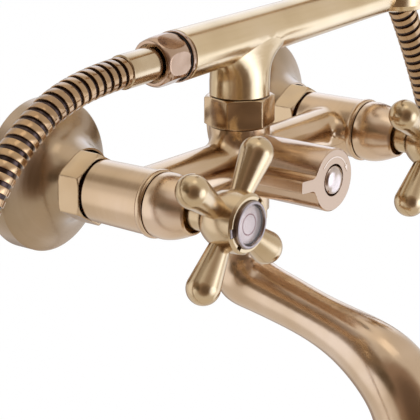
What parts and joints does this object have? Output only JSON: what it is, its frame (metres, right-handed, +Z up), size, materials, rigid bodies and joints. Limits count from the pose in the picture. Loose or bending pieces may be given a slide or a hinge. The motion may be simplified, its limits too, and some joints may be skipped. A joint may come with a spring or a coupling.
{
  "type": "bath mixer",
  "caption": "Wall-mounted brass bath mixer with cross handles, diverter knob, swivel spout and a shower arm that carries hose and hand shower.",
  "frame": {"origin": "on the face of the wall, midway between the two inlet axes, at the height of the valve axes", "axes": "+X to the right as the user sees it, +Y into the wall, +Z up"},
  "size_m": [0.3784, 0.18, 0.638],
  "materials": {
    "body_brass": "satin",
    "nut_brass": "polished",
    "rosette_brass": "satin",
    "plain_brass": "machined",
    "cover_brass": "satin",
    "handle_brass": "satin",
    "knob_brass": "satin",
    "steel": "polished",
    "pewter": "satin",
    "silver_disc": "satin",
    "clear_lens": "clear",
    "rubber": "matt",
    "ceramic": "polished",
    "spout_brass": "satin",
    "mesh_plastic": "matt",
    "arm_brass": "satin",
    "hose_fitting_brass": "satin",
    "hose_brass": "satin",
    "handset_brass": "satin",
    "spray_face": "matt"
  },
  "bodies": {
    "base": {"body_casting": "body_brass", "top_nut": "nut_brass", "split_ring": "plain_brass", "spout_screw": "steel", "diverter_cartridge": "plain_brass", "s_union_left": "plain_brass", "s_union_right": "plain_brass", "rosette_left": "rosette_brass", "rosette_right": "rosette_brass", "union_nut_left": "nut_brass", "union_nut_right": "nut_brass", "union_washer_left": "rubber", "union_washer_right": "rubber", "bonnet_cover_left": "cover_brass", "bonnet_cover_right": "cover_brass", "headwork_left": "plain_brass", "headwork_right": "plain_brass", "seat_ring_left": "rubber", "seat_ring_right": "rubber", "fixed_disc_left": "ceramic", "fixed_disc_right": "ceramic"},
    "hot_handle": {"moving_disc_left": "ceramic", "spindle_left": "plain_brass", "handle_hub_left": "handle_brass", "handle_screw_left": "plain_brass", "cap_bezel_left": "pewter", "index_disc_left": "silver_disc", "index_lens_left": "clear_lens", "handle_arm_left_1": "handle_brass", "handle_arm_left_2": "handle_brass", "handle_arm_left_3": "handle_brass", "handle_arm_left_4": "handle_brass"},
    "cold_handle": {"moving_disc_right": "ceramic", "spindle_right": "plain_brass", "handle_hub_right": "handle_brass", "handle_screw_right": "plain_brass", "cap_bezel_right": "pewter", "index_disc_right": "silver_disc", "index_lens_right": "clear_lens", "handle_arm_right_1": "handle_brass", "handle_arm_right_2": "handle_brass", "handle_arm_right_3": "handle_brass", "handle_arm_right_4": "handle_brass"},
    "diverter": {"diverter_knob": "knob_brass", "knob_stud": "steel", "diverter_spindle": "plain_brass"},
    "spout": {"spout_body": "spout_brass", "spout_oring": "rubber", "aerator_ring": "spout_brass", "aerator_core": "mesh_plastic"},
    "shower_arm": {"shower_arm": "arm_brass", "hose_seal": "rubber", "collar_ring": "hose_fitting_brass", "hose_nut": "hose_fitting_brass", "hose_ferrule": "hose_fitting_brass", "hose": "hose_brass"},
    "handset": {"cone_nut": "hose_fitting_brass", "handset_body": "handset_brass", "spray_plate": "spray_face"}
  },
  "joints": [
    {"name": "hot_valve", "type": "hinge", "parent": "base", "child": "hot_handle", "pos_m": [-0.075, -0.1072, 0], "axis": [0, -1, 0], "range_deg": [0, 90]},
    {"name": "cold_valve", "type": "hinge", "parent": "base", "child": "cold_handle", "pos_m": [0.075, -0.1072, 0], "axis": [0, -1, 0], "range_deg": [-90, 0]},
    {"name": "diverter_turn", "type": "hinge", "parent": "base", "child": "diverter", "pos_m": [0, -0.0868, -0.001], "axis": [0, -1, 0], "range_deg": [-90, 0]},
    {"name": "spout_swivel", "type": "hinge", "parent": "base", "child": "spout", "pos_m": [0, -0.055, -0.022], "axis": [0, 0, 1], "range_deg": [-90, 90]},
    {"name": "shower_arm_swivel", "type": "hinge", "parent": "base", "child": "shower_arm", "pos_m": [0, -0.055, 0.0294], "axis": [0, 0, 1], "range_deg": [-25, 14]},
    {"name": "handset_lift", "type": "slide", "parent": "shower_arm", "child": "handset", "axis": [-0.5446, 0, 0.8387], "range_m": [0, 0.05]}
  ]
}
